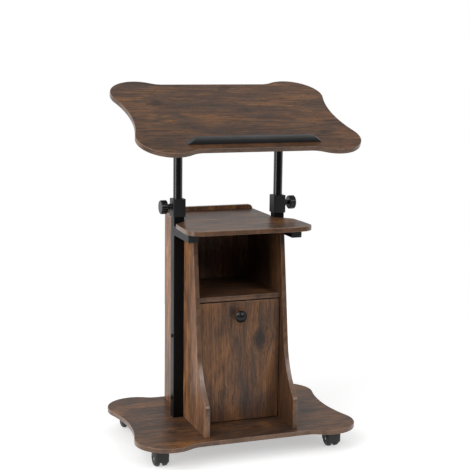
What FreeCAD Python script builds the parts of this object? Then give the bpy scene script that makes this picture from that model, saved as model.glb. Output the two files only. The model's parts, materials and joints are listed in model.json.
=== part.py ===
"""Rolling lectern: a tilting, height-adjustable top on two posts above a small cabinet on casters.

Millimetres. X runs right, Y to the back and Z up. The origin is on the floor under the middle of the base.
Pieces are modelled on the right-hand side and mirrored to the left.
"""
import FreeCAD, Part
import math
import os

V = FreeCAD.Vector

# Boards: thickness, and the lobed outline shared by the base and the top
BOARD = 12.0
BASE_W = 600.0
BASE_D = 435.0
TOP_W = 594.0
TOP_D = 422.0
LOBE_R = 82.0
FRONT_RECESS = 20.0
FRONT_BLEND_R = 62.0
SIDE_RECESS = 20.0

# Casters
CASTER_H = 56.0
CASTER_INSET_X = 62.0
CASTER_INSET_Y = 60.5
TRAIL = 12.0
WHEEL_R = 20.0
WHEEL_W = 12.8
WHEEL_ROUND = 9.0
WHEEL_DISH = 2.0
WHEEL_HUB_R = 7.0
WEB_W = 11.4
AXLE_R = 3.0
KINGPIN_R = 5.0
KINGPIN_LEN = 17.5
CASTER_PLATE_T = 2.5
CASTER_PLATE_MARGIN = 5.0
CASTER_PLATE_R = 4.0
CASTER_SCREW_SPAN = 28.0
HOOD_W = 36.0
HOOD_WALL = 3.2
HOOD_FOOT_Z = 15.0
HOOD_WEB_R = 13.0
HOOD_HEADROOM = 6.0
HOOD_CORNER_R = 6.0
HOOD_EDGE_R = 5.0
HOOD_REAR_ANGLE = 15.0
HOOD_BOSS_R = 8.0

# Cabinet
CABINET_IN_W = 229.0
PANEL_H = 519.5
FOOT_FRONT_INSET = 45.5
PANEL_REAR_INSET = 46.5
PANEL_FRONT_Y = -58.3
PANEL_LEAN = 7.85
FLARE_START_H = 211.0
FLARE_R = 212.0
SHOULDER_R = 20.0
BACK_LIP = 11.0
BACK_CORNER_R = 12.0
CABINET_SHELF_SETBACK = 2.0

# Door
DOOR_FRONT_Y = -70.0
DOOR_H = 322.0
DOOR_SIDE_GAP = 2.0
DOOR_FOOT_GAP = 3.0
DOOR_TOP_GAP = 3.0
HINGE_PIN_R = 2.5
HINGE_PIN_IN = 12.0
HINGE_FROM_FACE = 4.5
HINGE_FROM_FOOT = 6.0
BUSH_R = 4.5
BUSH_DEPTH = 8.0
BUSH_FLANGE_R = 7.0
BUSH_FLANGE_T = 1.5
KNOB_FROM_TOP = 37.5
KNOB_R = 16.0
KNOB_REACH = 22.0
KNOB_NECK_R = 5.5
KNOB_FOOT_R = 8.0
KNOB_NECK_SHARE = 0.45
KNOB_DOME = 8.5
KNOB_SCREW_R = 2.0
CATCH_W = 42.0
CATCH_D = 17.0
CATCH_H = 13.0
CATCH_EDGE_R = 2.0
STRIKE_W = 34.0
STRIKE_H = 11.0
STRIKE_T = 1.0

# Steel frame: square uprights and arms, round posts
TUBE = 28.0
TUBE_WALL = 1.2
TUBE_EDGE_R = 2.0
UPRIGHT_Y = 24.1
UPRIGHT_ABOVE_SHELF = 28.5
ARM_H = 26.0
ARM_FRONT_Y = -106.5
ARM_CAP_T = 3.0
ARM_CAP_PLUG = 12.0
UPRIGHT_BOLT_H = (52.0, 222.0)
UPRIGHT_BOLT_R = 3.0
UPRIGHT_BOLT_HEAD_R = 5.0
UPRIGHT_BOLT_HEAD_T = 3.0
POST_R = 12.0
POST_WALL = 1.5
POST_LEN = 356.0
GUIDE_H = 14.0
GUIDE_PLUG = 22.0
GUIDE_PLAY = 0.1

# Mid shelf
SHELF_HALF_W = 168.0
SHELF_FRONT_SETBACK = 2.0
SHELF_CORNER_R = 38.0
SHELF_SIDE_R = 1100.0
SHELF_WING_Y = -34.0
SHELF_WING_R = 10.0
SHELF_NOTCH_R = 2.5
SHELF_NOTCH_PLAY = 3.0

# Clamp sleeves and fluted knobs
SLEEVE = 34.0
SLEEVE_H = 47.0
SLEEVE_EDGE_R = 2.5
SLEEVE_ABOVE_SHELF = 10.0
SLEEVE_BOSS_R = 8.5
SLEEVE_BOSS_LEN = 7.0
CLAMP_STUD_R = 4.0
CLAMP_STUD_H = 25.7
CLAMP_KNOB_R = 18.2
CLAMP_KNOB_LEN = 17.0
CLAMP_NECK_R = 5.5
CLAMP_NECK_LEN = 6.5
TILT_KNOB_R = 15.0
TILT_KNOB_LEN = 14.0
TILT_NECK_R = 7.0
TILT_NECK_LEN = 6.0
FLUTED_CROWN = 1.8
FLUTED_BACK = 1.6
FLUTES = 10
FLUTE_R = 3.4
FLUTE_DEPTH = 1.8

# Tilting head: the pivot, its brackets and the stop bar
POST_SHOWING = 189.1
TILT_REST = 21.3
TILT_FLAT = 0.0
TILT_STEEP = 35.0
PIVOT_DROP = 30.0
TOP_FORWARD = 25.7
HEAD_W = 24.0
HEAD_R = 13.0
HEAD_DROP = 46.0
HEAD_PLUG = 25.0
PIVOT_R = 4.0
PIVOT_HEAD_R = 7.0
PIVOT_HEAD_T = 4.0
TILT_STUD_R = 3.0
TILT_STUD_IN = 12.0
SLOT_R = 30.0
SLOT_PLAY = 0.4
BRACKET_T = 3.0
BRACKET_W = 34.0
BRACKET_LEN = 84.0
BRACKET_NOSE_R = 15.0
BRACKET_RIM = 4.6
BRACKET_RIM_ANGLE = 14.0
STOP_LEN = 356.0
STOP_TOP_LEN = 310.0
STOP_D = 18.0
STOP_H = 15.0
STOP_CHAMFER_D = 5.0
STOP_CHAMFER_H = 6.0
STOP_LEAN = 2.0
STOP_FROM_EDGE = 24.0

# Fasteners and clearances
SCREW_R = 2.0
SCREW_HEAD_R = 4.0
SCREW_HEAD_T = 2.2
SCREW_BITE = 8.0
BASE_SCREW_BITE = 28.0
BACK_SCREW_BITE = 24.0
DOWEL_R = 4.0
DOWEL_IN_PANEL = 8.0
DOWEL_IN_SHELF = 22.0
FACE_GAP = 0.3
RUNNING = 0.06

# Heights and places that follow from the sizes above
BASE_TOP = CASTER_H + BOARD
SHELF_UNDER = BASE_TOP + PANEL_H
SHELF_TOP = SHELF_UNDER + BOARD
PANEL_IN = CABINET_IN_W / 2
PANEL_OUT = PANEL_IN + BOARD
FOOT_FRONT_Y = FOOT_FRONT_INSET - BASE_D / 2
SHELF_FRONT_Y = FOOT_FRONT_Y + SHELF_FRONT_SETBACK
PANEL_REAR_Y = BASE_D / 2 - PANEL_REAR_INSET
UPRIGHT_X = PANEL_OUT + TUBE / 2
UPRIGHT_TOP = SHELF_TOP + UPRIGHT_ABOVE_SHELF
TUBE_IN = TUBE - 2 * TUBE_WALL
SLEEVE_FOOT = SHELF_TOP + SLEEVE_ABOVE_SHELF
SLEEVE_TOP = SLEEVE_FOOT + SLEEVE_H
SLEEVE_OUT = UPRIGHT_X + SLEEVE / 2
SLEEVE_BOSS_OUT = SLEEVE_OUT + SLEEVE_BOSS_LEN
CLAMP_Z = SLEEVE_FOOT + CLAMP_STUD_H
PIVOT_Z = SLEEVE_TOP + POST_SHOWING
HEAD_FOOT = PIVOT_Z - HEAD_DROP
HEAD_OUT = UPRIGHT_X + HEAD_W / 2
POST_IN_R = POST_R - POST_WALL
POST_FOOT = HEAD_FOOT - POST_LEN
CHEEK_IN = HEAD_OUT + FACE_GAP
CHEEK_OUT = CHEEK_IN + BRACKET_T
TILT_STUD_Z = PIVOT_Z - SLOT_R
DOOR_FOOT = BASE_TOP + DOOR_FOOT_GAP
DOOR_TOP = DOOR_FOOT + DOOR_H
DOOR_BACK_Y = DOOR_FRONT_Y + BOARD
DOOR_HALF = PANEL_IN - DOOR_SIDE_GAP
CABINET_SHELF_UNDER = DOOR_TOP + DOOR_TOP_GAP
KNOB_Z = DOOR_TOP - KNOB_FROM_TOP
HINGE_Y = DOOR_FRONT_Y + HINGE_FROM_FACE
HINGE_Z = DOOR_FOOT + HINGE_FROM_FOOT
CASTER_X = BASE_W / 2 - CASTER_INSET_X
CASTER_Y = BASE_D / 2 - CASTER_INSET_Y
PLATE_FOOT = CASTER_H - CASTER_PLATE_T
HOOD_TOP = CASTER_H - HOOD_HEADROOM
SIDES = {"left": -1, "right": 1}
CORNERS = {"front_left": (-1, -1), "front_right": (1, -1), "rear_left": (-1, 1), "rear_right": (1, 1)}


def box(x0, x1, y0, y1, z0, z1):
    """Block between two corners."""
    return Part.makeBox(x1 - x0, y1 - y0, z1 - z0, V(x0, y0, z0))


def rod(radius, start, end):
    """Round bar between two points."""
    return Part.makeCylinder(radius, (end - start).Length, start, end - start)


def line(start, end):
    """Straight edge."""
    return Part.LineSegment(start, end).toShape()


def polar_xy(centre, radius, degrees):
    """Point on a level circle."""
    turn = math.radians(degrees)
    return centre + V(radius * math.cos(turn), radius * math.sin(turn), 0)


def polar_yz(centre, radius, degrees):
    """Point on an upright circle that faces along X; 0 degrees is +Y."""
    turn = math.radians(degrees)
    return centre + V(0, radius * math.cos(turn), radius * math.sin(turn))


def arc(polar, centre, radius, start, end):
    """Arc about a centre between two angles."""
    ends = [polar(centre, radius, a) for a in (start, (start + end) / 2, end)]
    return Part.Arc(*ends).toShape()


def filled(edges):
    """Face inside a closed run of edges."""
    return Part.Face(Part.Wire(Part.__sortEdges__(edges)))


def outline(*points):
    """Face inside straight edges through the points."""
    return Part.Face(Part.makePolygon(list(points) + [points[0]]))


def flipped(shape):
    """Mirror image on the left-hand side."""
    return shape.mirror(V(0, 0, 0), V(1, 0, 0))


def on_side(shape, side):
    """The right-hand piece, or its mirror image."""
    return shape if side > 0 else flipped(shape)


def both(shape):
    """A right-hand piece and its mirror image, as two solids."""
    return Part.makeCompound([flipped(shape), shape])


def rounded(solid, radius, axis):
    """Round the straight edges that run along an axis."""
    edges = [e for e in solid.Edges if abs(e.tangentAt(e.FirstParameter).dot(axis)) > 0.999]
    return solid.makeFillet(radius, edges)


def flat_screw(head_face, direction, length, shank=SCREW_R):
    """Countersunk screw: the head's flat face, the way it points, and its length under that face."""
    cone = Part.makeCone(SCREW_HEAD_R, shank, SCREW_HEAD_T, head_face, direction)
    return cone.fuse(rod(shank, head_face + direction * SCREW_HEAD_T, head_face + direction * length))


def pan_screw(seat, direction, length, shank=SCREW_R, head_r=SCREW_HEAD_R, head_t=SCREW_HEAD_T):
    """Screw with a round head that stands on its seat."""
    head = rod(head_r, seat - direction * head_t, seat)
    return head.fuse(rod(shank, seat, seat + direction * length))


def lobed_board(width, depth, foot):
    """Board with four round lobes joined by drawn-in edges, from its lower face up."""
    lobe = V(width / 2 - LOBE_R, LOBE_R - depth / 2, 0)
    reach = LOBE_R + FRONT_BLEND_R
    run = math.sqrt(reach ** 2 - (reach - FRONT_RECESS) ** 2)
    front = FRONT_RECESS - depth / 2
    blend = V(lobe.x - run, front - FRONT_BLEND_R, 0)
    waist_r = ((LOBE_R - SIDE_RECESS) ** 2 + lobe.y ** 2 - LOBE_R ** 2) / (2 * SIDE_RECESS)
    waist = V(width / 2 - SIDE_RECESS + waist_r, 0, 0)
    to_lobe = math.degrees(math.atan2(lobe.y - blend.y, lobe.x - blend.x))
    to_waist = math.degrees(math.atan2(waist.y - lobe.y, waist.x - lobe.x))
    quarter = [
        line(V(0, front, 0), V(blend.x, front, 0)),
        arc(polar_xy, blend, FRONT_BLEND_R, 90, to_lobe),
        arc(polar_xy, lobe, LOBE_R, to_lobe - 180, to_waist),
        arc(polar_xy, waist, waist_r, to_waist + 180, 180),
    ]
    half = quarter + [e.mirror(V(0, 0, 0), V(0, 1, 0)) for e in quarter]
    face = filled(half + [flipped(e) for e in half])
    face.translate(V(0, 0, foot))
    return face.extrude(V(0, 0, BOARD)).removeSplitter()


def base_screws():
    """Screws up through the base into the feet of the side panels."""
    x = PANEL_IN + BOARD / 2
    span = PANEL_REAR_Y - FOOT_FRONT_Y
    places = [FOOT_FRONT_Y + span * share for share in (0.15, 0.5, 0.85)]
    length = BOARD + BASE_SCREW_BITE
    return [flat_screw(V(s * x, y, CASTER_H), V(0, 0, 1), length) for s in SIDES.values() for y in places]


def caster_screws():
    """Screws up through the caster plates into the base."""
    h = CASTER_SCREW_SPAN / 2
    spots = [V(sx * CASTER_X + dx, sy * CASTER_Y + dy, PLATE_FOOT)
             for sx, sy in CORNERS.values() for dx in (-h, h) for dy in (-h, h)]
    return [pan_screw(spot, V(0, 0, 1), CASTER_PLATE_T + SCREW_BITE) for spot in spots]


def base_board():
    """Lobed base with holes for its screws."""
    board = lobed_board(BASE_W, BASE_D, CASTER_H)
    return board.cut(base_screws() + caster_screws())


def caster_plates():
    """Mounting plates with kingpins, one under each lobe."""
    h = CASTER_SCREW_SPAN / 2 + CASTER_PLATE_MARGIN
    plates = []
    for sx, sy in CORNERS.values():
        x, y = sx * CASTER_X, sy * CASTER_Y
        plate = rounded(box(x - h, x + h, y - h, y + h, PLATE_FOOT, CASTER_H), CASTER_PLATE_R, V(0, 0, 1))
        pin = rod(KINGPIN_R, V(x, y, PLATE_FOOT - KINGPIN_LEN), V(x, y, CASTER_H))
        plates.append(plate.fuse(pin).removeSplitter())
    return Part.makeCompound(plates).cut(caster_screws())


def hood_profile(axle):
    """Side outline of a caster hood: upright front, flat top and a fender round the wheels."""
    fender_r = WHEEL_R + HOOD_WALL
    front = axle.y - fender_r
    corner = V(0, front + HOOD_CORNER_R, HOOD_TOP - HOOD_CORNER_R)
    crest = V(0, axle.y - fender_r / 2, HOOD_TOP)
    drop = HOOD_TOP - axle.z
    slope = math.degrees(math.atan2(drop, crest.y - axle.y))
    touch = slope - math.degrees(math.acos(fender_r / math.hypot(drop, crest.y - axle.y)))
    foot = V(0, front, HOOD_FOOT_Z)
    rear = polar_yz(axle, fender_r, -HOOD_REAR_ANGLE)
    return filled([
        line(foot, V(0, front, corner.z)),
        arc(polar_yz, corner, HOOD_CORNER_R, 180, 90),
        line(V(0, corner.y, HOOD_TOP), crest),
        line(crest, polar_yz(axle, fender_r, touch)),
        arc(polar_yz, axle, fender_r, touch, -HOOD_REAR_ANGLE),
        line(rear, foot),
    ])


def caster_hood():
    """Hood about its own kingpin: wheel pockets each side of a round web, and bores for pin and axle."""
    axle = V(0, TRAIL, WHEEL_R)
    half = HOOD_W / 2
    face = hood_profile(axle)
    face.translate(V(-half, 0, 0))
    hood = face.extrude(V(HOOD_W, 0, 0))
    sides = [e for e in hood.Edges if abs(abs(e.CenterOfMass.x) - half) < FACE_GAP]
    hood = hood.makeFillet(HOOD_EDGE_R, [e for e in sides if e.CenterOfMass.z > HOOD_FOOT_Z])
    boss = rod(HOOD_BOSS_R, V(0, 0, HOOD_TOP - HOOD_CORNER_R), V(0, 0, PLATE_FOOT - FACE_GAP))
    pocket_r = WHEEL_R + FACE_GAP * 4
    web, past = V(WEB_W / 2, 0, 0), V(HOOD_W, 0, 0)
    pockets = [rod(pocket_r, axle + web * s, axle + past * s) for s in SIDES.values()]
    pin_foot = PLATE_FOOT - KINGPIN_LEN - FACE_GAP
    bores = [
        rod(KINGPIN_R + RUNNING, V(0, 0, pin_foot), V(0, 0, PLATE_FOOT)),
        rod(AXLE_R + RUNNING, axle - past, axle + past),
    ]
    middle = rod(HOOD_WEB_R, axle - web, axle + web)
    return hood.fuse([boss, middle]).cut(pockets + bores).removeSplitter()


def at_corner(shape, corner):
    """Set a caster piece under its lobe, wheels trailing to the back."""
    sx, sy = CORNERS[corner]
    placed = shape.copy()
    placed.translate(V(sx * CASTER_X, sy * CASTER_Y, 0))
    return placed


def wheel_inner_face():
    """Distance of a wheel's inner face from the middle of its caster."""
    return WEB_W / 2 + FACE_GAP


def caster_axle():
    """Axle through the web, with a wheel pressed on each end."""
    reach = wheel_inner_face() + WHEEL_W - WHEEL_DISH
    return rod(AXLE_R, V(-reach, TRAIL, WHEEL_R), V(reach, TRAIL, WHEEL_R))


def caster_wheels():
    """Two wheels with rounded outer shoulders and a dished outer face round the hub."""
    inner = wheel_inner_face()
    outer = inner + WHEEL_W
    shoulder = V(outer - WHEEL_ROUND, 0, WHEEL_R - WHEEL_ROUND)
    mid = shoulder + V(1, 0, 1) * (WHEEL_ROUND / math.sqrt(2))
    floor = outer - WHEEL_DISH
    rim = WHEEL_R - WHEEL_ROUND
    half = filled([
        line(V(inner, 0, AXLE_R), V(inner, 0, WHEEL_R)),
        line(V(inner, 0, WHEEL_R), V(shoulder.x, 0, WHEEL_R)),
        Part.Arc(V(shoulder.x, 0, WHEEL_R), mid, V(outer, 0, rim)).toShape(),
        line(V(outer, 0, rim), V(floor, 0, WHEEL_HUB_R)),
        line(V(floor, 0, WHEEL_HUB_R), V(floor, 0, AXLE_R)),
        line(V(floor, 0, AXLE_R), V(inner, 0, AXLE_R)),
    ])
    wheel = half.revolve(V(0, 0, 0), V(1, 0, 0), 360)
    wheel.translate(V(0, TRAIL, WHEEL_R))
    return both(wheel)


def shelf_dowels():
    """Dowels between the cabinet shelf and the side panels."""
    z = CABINET_SHELF_UNDER + BOARD / 2
    places = [DOOR_FRONT_Y / 2, PANEL_REAR_Y * 0.7]
    start, end = PANEL_IN - DOWEL_IN_SHELF, PANEL_IN + DOWEL_IN_PANEL
    return [rod(DOWEL_R, V(s * start, y, z), V(s * end, y, z)) for s in SIDES.values() for y in places]


def back_screws():
    """Screws through the back panel into the rear edges of the side panels."""
    x = PANEL_IN + BOARD / 2
    face = PANEL_REAR_Y + BOARD
    heights = [BASE_TOP + PANEL_H * share for share in (0.1, 0.5, 0.9)]
    length = BOARD + BACK_SCREW_BITE
    return [flat_screw(V(s * x, face, z), V(0, -1, 0), length) for s in SIDES.values() for z in heights]


def upright_bolts():
    """Bolts through the uprights into the side panels, heads outside."""
    seat = PANEL_OUT + TUBE
    length = TUBE + BOARD * 0.75
    size = (UPRIGHT_BOLT_R, UPRIGHT_BOLT_HEAD_R, UPRIGHT_BOLT_HEAD_T)
    spots = [(s, V(s * seat, UPRIGHT_Y, BASE_TOP + h)) for s in SIDES.values() for h in UPRIGHT_BOLT_H]
    return [pan_screw(spot, V(-s, 0, 0), length, *size) for s, spot in spots]


def hinge_bushes():
    """Flanged bushes in the side panels that carry the door's pins."""
    start = V(PANEL_IN, HINGE_Y, HINGE_Z)
    flange = rod(BUSH_FLANGE_R, start - V(BUSH_FLANGE_T, 0, 0), start)
    sleeve = rod(BUSH_R, start, start + V(BUSH_DEPTH, 0, 0))
    bore = rod(HINGE_PIN_R + RUNNING, start - V(BUSH_FLANGE_T, 0, 0), start + V(BUSH_DEPTH, 0, 0))
    return both(flange.fuse(sleeve).cut(bore).removeSplitter())


def side_panel():
    """Side panel with a leaning front edge that flares forward to a rounded foot."""
    lean = math.radians(PANEL_LEAN)
    flare_z = BASE_TOP + FLARE_START_H
    bend = V(PANEL_IN, PANEL_FRONT_Y - (SHELF_UNDER - flare_z) * math.tan(lean), flare_z)
    flare = bend + V(0, -FLARE_R * math.cos(lean), FLARE_R * math.sin(lean))
    shoulder_y = FOOT_FRONT_Y + SHOULDER_R
    fall = math.sqrt((FLARE_R + SHOULDER_R) ** 2 - (flare.y - shoulder_y) ** 2)
    shoulder = V(PANEL_IN, shoulder_y, flare.z - fall)
    turn = math.degrees(math.atan2(-fall, shoulder.y - flare.y))
    corner = {name: V(PANEL_IN, y, z) for name, y, z in (
        ("top front", PANEL_FRONT_Y, SHELF_UNDER), ("top rear", PANEL_REAR_Y, SHELF_UNDER),
        ("foot rear", PANEL_REAR_Y, BASE_TOP), ("foot front", FOOT_FRONT_Y, BASE_TOP))}
    face = filled([
        line(corner["top front"], bend),
        arc(polar_yz, flare, FLARE_R, -PANEL_LEAN, turn),
        arc(polar_yz, shoulder, SHOULDER_R, turn + 180, 180),
        line(V(PANEL_IN, FOOT_FRONT_Y, shoulder.z), corner["foot front"]),
        line(corner["foot front"], corner["foot rear"]),
        line(corner["foot rear"], corner["top rear"]),
        line(corner["top rear"], corner["top front"]),
    ])
    panel = face.extrude(V(BOARD, 0, 0))
    bush_hole = rod(BUSH_R, V(PANEL_IN, HINGE_Y, HINGE_Z), V(PANEL_IN + BUSH_DEPTH, HINGE_Y, HINGE_Z))
    return panel.cut(base_screws() + back_screws() + shelf_dowels() + upright_bolts() + [bush_hole])


def back_panel():
    """Back panel that closes the cabinet and rises as a low lip behind the mid shelf."""
    top = SHELF_TOP + BACK_LIP
    panel = box(-PANEL_OUT, PANEL_OUT, PANEL_REAR_Y, PANEL_REAR_Y + BOARD, BASE_TOP, top)
    upper = [e for e in panel.Edges if e.CenterOfMass.z > top - FACE_GAP and abs(e.CenterOfMass.x) > PANEL_IN]
    return panel.makeFillet(BACK_CORNER_R, upper).cut(back_screws())


def cabinet_shelf():
    """Shelf over the cabinet, between the side panels."""
    front = DOOR_FRONT_Y + CABINET_SHELF_SETBACK
    top = CABINET_SHELF_UNDER + BOARD
    return box(-PANEL_IN, PANEL_IN, front, PANEL_REAR_Y, CABINET_SHELF_UNDER, top).cut(shelf_dowels())


def shelf_screws():
    """Screws up through the arms into the mid shelf."""
    seat = SHELF_UNDER - ARM_H
    places = [ARM_FRONT_Y + ARM_CAP_PLUG * 2, UPRIGHT_Y - TUBE * 2]
    spots = [V(s * UPRIGHT_X, y, seat) for s in SIDES.values() for y in places]
    return [pan_screw(spot, V(0, 0, 1), ARM_H + SCREW_BITE) for spot in spots]


def mid_shelf():
    """Shelf notched round the uprights, with wings that slant out in front of them."""
    centre_y = SHELF_FRONT_Y + SHELF_CORNER_R
    clear = TUBE / 2 + SHELF_NOTCH_PLAY
    notch_front, notch_rear = UPRIGHT_Y - clear, UPRIGHT_Y + clear
    notch_x = UPRIGHT_X - clear
    corner = V(SHELF_HALF_W - SHELF_CORNER_R, centre_y, SHELF_UNDER)
    side = V(SHELF_HALF_W - SHELF_SIDE_R, centre_y, SHELF_UNDER)
    sweep = math.degrees(math.asin((SHELF_WING_Y - centre_y) / SHELF_SIDE_R))
    wing = polar_xy(side, SHELF_SIDE_R, sweep)
    notch = [wing] + [V(x, y, SHELF_UNDER) for x, y in (
        (notch_x, notch_front), (notch_x, notch_rear), (PANEL_OUT, notch_rear),
        (PANEL_OUT, PANEL_REAR_Y), (0, PANEL_REAR_Y))]
    half = [
        line(V(0, SHELF_FRONT_Y, SHELF_UNDER), V(corner.x, SHELF_FRONT_Y, SHELF_UNDER)),
        arc(polar_xy, corner, SHELF_CORNER_R, -90, 0),
        arc(polar_xy, side, SHELF_SIDE_R, 0, sweep),
    ] + [line(a, b) for a, b in zip(notch, notch[1:])]
    face = filled(half + [flipped(e) for e in half])
    shelf = face.extrude(V(0, 0, BOARD)).removeSplitter()
    upright_edges = [e for e in shelf.Edges if abs(e.tangentAt(e.FirstParameter).z) > 0.999]
    inner = [e for e in upright_edges if abs(e.CenterOfMass.x) < PANEL_OUT
             and notch_front - FACE_GAP < e.CenterOfMass.y < notch_rear + FACE_GAP]
    tips = [e for e in upright_edges if abs(e.CenterOfMass.y - SHELF_WING_Y) < FACE_GAP]
    shelf = shelf.makeFillet(SHELF_NOTCH_R, inner).makeFillet(SHELF_WING_R, tips)
    return shelf.cut(shelf_screws())


def upright():
    """Square tube from the base up into the clamp sleeve."""
    h, b = TUBE / 2, TUBE_IN / 2
    x, y = UPRIGHT_X, UPRIGHT_Y
    outer = rounded(box(x - h, x + h, y - h, y + h, BASE_TOP, UPRIGHT_TOP), TUBE_EDGE_R, V(0, 0, 1))
    return outer.cut(box(x - b, x + b, y - b, y + b, BASE_TOP, UPRIGHT_TOP)).cut(upright_bolts())


def arm_block(front, rear, inset):
    """Length of the right arm's section, or of its hollow when inset by the wall."""
    half = TUBE / 2 - inset
    foot, top = SHELF_UNDER - ARM_H + inset, SHELF_UNDER - inset
    return box(UPRIGHT_X - half, UPRIGHT_X + half, front, rear, foot, top)


def arm():
    """Tube under the shelf, from the upright forward to its end cap."""
    rear = UPRIGHT_Y - TUBE / 2
    outer = rounded(arm_block(ARM_FRONT_Y, rear, 0), TUBE_EDGE_R, V(0, 1, 0))
    return outer.cut(arm_block(ARM_FRONT_Y, rear, TUBE_WALL)).cut(shelf_screws())


def arm_end_caps():
    """Caps plugged into the front ends of the arms."""
    cap = rounded(arm_block(ARM_FRONT_Y - ARM_CAP_T, ARM_FRONT_Y, 0), TUBE_EDGE_R, V(0, 1, 0))
    plug = arm_block(ARM_FRONT_Y, ARM_FRONT_Y + ARM_CAP_PLUG, TUBE_WALL)
    return both(cap.fuse(plug))


def clamp_sleeve():
    """Sleeve over the upright's end that guides the post, with a boss for the clamp stud."""
    h, t = SLEEVE / 2, TUBE / 2
    x, y = UPRIGHT_X, UPRIGHT_Y
    body = rounded(box(x - h, x + h, y - h, y + h, SLEEVE_FOOT, SLEEVE_TOP), SLEEVE_EDGE_R, V(0, 0, 1))
    socket = rounded(box(x - t, x + t, y - t, y + t, SLEEVE_FOOT, UPRIGHT_TOP), TUBE_EDGE_R, V(0, 0, 1))
    bore = rod(POST_R + RUNNING, V(x, y, SLEEVE_FOOT), V(x, y, SLEEVE_TOP))
    boss = rod(SLEEVE_BOSS_R, V(x, y, CLAMP_Z), V(SLEEVE_BOSS_OUT, y, CLAMP_Z))
    stud_hole = rod(CLAMP_STUD_R + RUNNING, V(x, y, CLAMP_Z), V(SLEEVE_BOSS_OUT, y, CLAMP_Z))
    return body.fuse(boss).cut([socket, bore, stud_hole]).removeSplitter()


def fluted_knob(start, neck_r, neck_len, radius, length):
    """Knob along +X: a neck, then a flat head with flutes round its rim."""
    end = neck_len + length
    points = [V(0, 0, 0), V(0, 0, neck_r), V(neck_len, 0, neck_r), V(neck_len, 0, radius - FLUTED_BACK),
              V(neck_len + FLUTED_BACK, 0, radius), V(end - FLUTED_CROWN, 0, radius),
              V(end, 0, radius - FLUTED_CROWN), V(end, 0, 0)]
    knob = outline(*points).revolve(V(0, 0, 0), V(1, 0, 0), 360)
    ring = radius + FLUTE_R - FLUTE_DEPTH
    flutes = []
    for i in range(FLUTES):
        p = polar_yz(V(neck_len, 0, 0), ring, 360 * i / FLUTES)
        flutes.append(rod(FLUTE_R, p, p + V(length, 0, 0)))
    knob = knob.cut(flutes)
    knob.translate(start)
    return knob


def clamp_stud():
    """Stud from the clamp knob through the sleeve to the post."""
    tip = UPRIGHT_X + POST_R + FACE_GAP
    end = SLEEVE_BOSS_OUT + FACE_GAP + CLAMP_NECK_LEN + CLAMP_KNOB_LEN / 2
    return rod(CLAMP_STUD_R, V(tip, UPRIGHT_Y, CLAMP_Z), V(end, UPRIGHT_Y, CLAMP_Z))


def clamp_knob():
    """Fluted knob that clamps the post at its height."""
    start = V(SLEEVE_BOSS_OUT + FACE_GAP, UPRIGHT_Y, CLAMP_Z)
    return fluted_knob(start, CLAMP_NECK_R, CLAMP_NECK_LEN, CLAMP_KNOB_R, CLAMP_KNOB_LEN).cut(clamp_stud())


def post():
    """Round tube that slides in the upright and carries the head."""
    foot, top = V(UPRIGHT_X, UPRIGHT_Y, POST_FOOT), V(UPRIGHT_X, UPRIGHT_Y, HEAD_FOOT)
    return rod(POST_R, foot, top).cut(rod(POST_IN_R, foot, top))


def post_guides():
    """Plugs in the posts' lower ends that slide inside the uprights."""
    h = TUBE_IN / 2 - GUIDE_PLAY
    x, y = UPRIGHT_X, UPRIGHT_Y
    block = rounded(box(x - h, x + h, y - h, y + h, POST_FOOT - GUIDE_H, POST_FOOT), TUBE_EDGE_R, V(0, 0, 1))
    plug = rod(POST_IN_R, V(x, y, POST_FOOT), V(x, y, POST_FOOT + GUIDE_PLUG))
    return both(block.fuse(plug))


def tilt_pivot():
    """Shoulder bolt that the bracket turns on."""
    axis = V(1, 0, 0)
    seat = V(CHEEK_OUT + FACE_GAP, UPRIGHT_Y, PIVOT_Z)
    head = rod(PIVOT_HEAD_R, seat, seat + axis * PIVOT_HEAD_T)
    shank = rod(PIVOT_R, V(UPRIGHT_X, UPRIGHT_Y, PIVOT_Z), seat)
    return head.fuse(shank)


def tilt_stud():
    """Stud of the tilt knob, through the bracket's slot into the head."""
    tip = HEAD_OUT - TILT_STUD_IN
    end = CHEEK_OUT + FACE_GAP + TILT_NECK_LEN + TILT_KNOB_LEN / 2
    return rod(TILT_STUD_R, V(tip, UPRIGHT_Y, TILT_STUD_Z), V(end, UPRIGHT_Y, TILT_STUD_Z))


def tilt_knob():
    """Fluted knob that clamps the tilt."""
    start = V(CHEEK_OUT + FACE_GAP, UPRIGHT_Y, TILT_STUD_Z)
    return fluted_knob(start, TILT_NECK_R, TILT_NECK_LEN, TILT_KNOB_R, TILT_KNOB_LEN).cut(tilt_stud())


def post_head():
    """Head on the post: round over the pivot, flat cheeks, and a plug in the post."""
    pivot = V(UPRIGHT_X - HEAD_W / 2, UPRIGHT_Y, PIVOT_Z)
    feet = [V(pivot.x, UPRIGHT_Y + s * HEAD_R, HEAD_FOOT) for s in (1, -1)]
    face = filled([
        arc(polar_yz, pivot, HEAD_R, 0, 180),
        line(polar_yz(pivot, HEAD_R, 180), feet[1]),
        line(feet[1], feet[0]),
        line(feet[0], polar_yz(pivot, HEAD_R, 0)),
    ])
    plug = rod(POST_IN_R, V(UPRIGHT_X, UPRIGHT_Y, HEAD_FOOT - HEAD_PLUG), V(UPRIGHT_X, UPRIGHT_Y, HEAD_FOOT))
    stud_start = V(HEAD_OUT - TILT_STUD_IN - FACE_GAP, UPRIGHT_Y, TILT_STUD_Z)
    stud_hole = rod(TILT_STUD_R + RUNNING, stud_start, V(HEAD_OUT, UPRIGHT_Y, TILT_STUD_Z))
    return face.extrude(V(HEAD_W, 0, 0)).fuse(plug).cut([tilt_pivot(), stud_hole]).removeSplitter()


def tilted(shape):
    """Set a piece made level about the pivot at the rest tilt."""
    placed = shape.copy()
    placed.rotate(V(0, 0, 0), V(1, 0, 0), TILT_REST)
    placed.translate(V(0, UPRIGHT_Y, PIVOT_Z))
    return placed


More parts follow.
